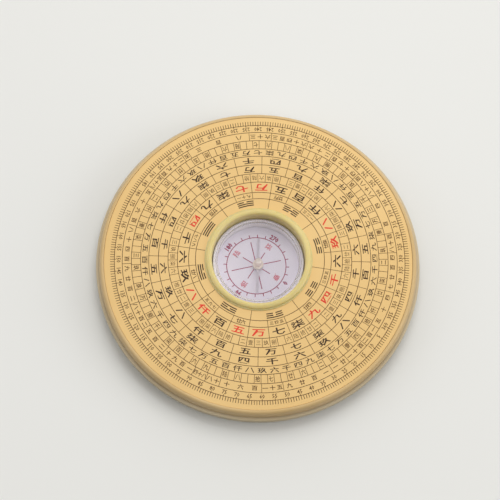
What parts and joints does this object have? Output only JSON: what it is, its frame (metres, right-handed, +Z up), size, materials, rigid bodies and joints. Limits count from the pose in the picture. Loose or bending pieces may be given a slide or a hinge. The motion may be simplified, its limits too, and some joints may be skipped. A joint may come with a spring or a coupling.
{
  "type": "feng shui compass",
  "caption": "Round pocket luopan: two-shell plastic body, printed ring dial, raised bezel and a capsule with a clear lens and a pivoted steel needle.",
  "frame": {"origin": "middle of the underside, on the surface that the compass lies on", "axes": "+Z up through the pivot, towards the face; +Y along the dial away from the viewer"},
  "size_m": [0.1, 0.1, 0.0103],
  "materials": {
    "cream_plastic": "moulded plastic, pale cream, softly glossy",
    "tan_plastic": "moulded plastic, golden tan, softly glossy",
    "gold_dial": "printed film, warm gold, satin",
    "luminous_plastic": "yellow-green luminous plastic",
    "clear_plastic": "clear moulded acrylic",
    "milky_plastic": "milky moulded plastic, barely translucent",
    "pale_card": "pale lavender-white printed card",
    "pin_steel": "turned steel",
    "needle_steel": "pale grey steel strip",
    "cap_brass": "pale brass, polished",
    "jewel_glass": "red bearing glass",
    "screw_steel": "zinc-plated steel",
    "black_ink": "printed dark brown-black ink",
    "red_ink": "printed red ink",
    "crimson_ink": "printed crimson ink"
  },
  "bodies": {
    "case": {"rear_shell": "cream_plastic", "front_shell": "tan_plastic", "dial_sheet": "gold_dial", "bezel_ring": "luminous_plastic", "capsule_cup": "milky_plastic", "capsule_lens": "clear_plastic", "compass_card": "pale_card", "pivot_pin": "pin_steel", "shell_screw_1": "screw_steel", "shell_screw_2": "screw_steel", "shell_screw_3": "screw_steel", "shell_screw_4": "screw_steel"},
    "needle": {"needle_blade": "needle_steel", "needle_cap": "cap_brass", "cap_jewel": "jewel_glass"}
  },
  "joints": [
    {"name": "needle_spin", "type": "hinge", "parent": "case", "child": "needle", "pos_m": [0, 0, 0.0034], "axis": [0, 0, 1], "continuous": true}
  ]
}
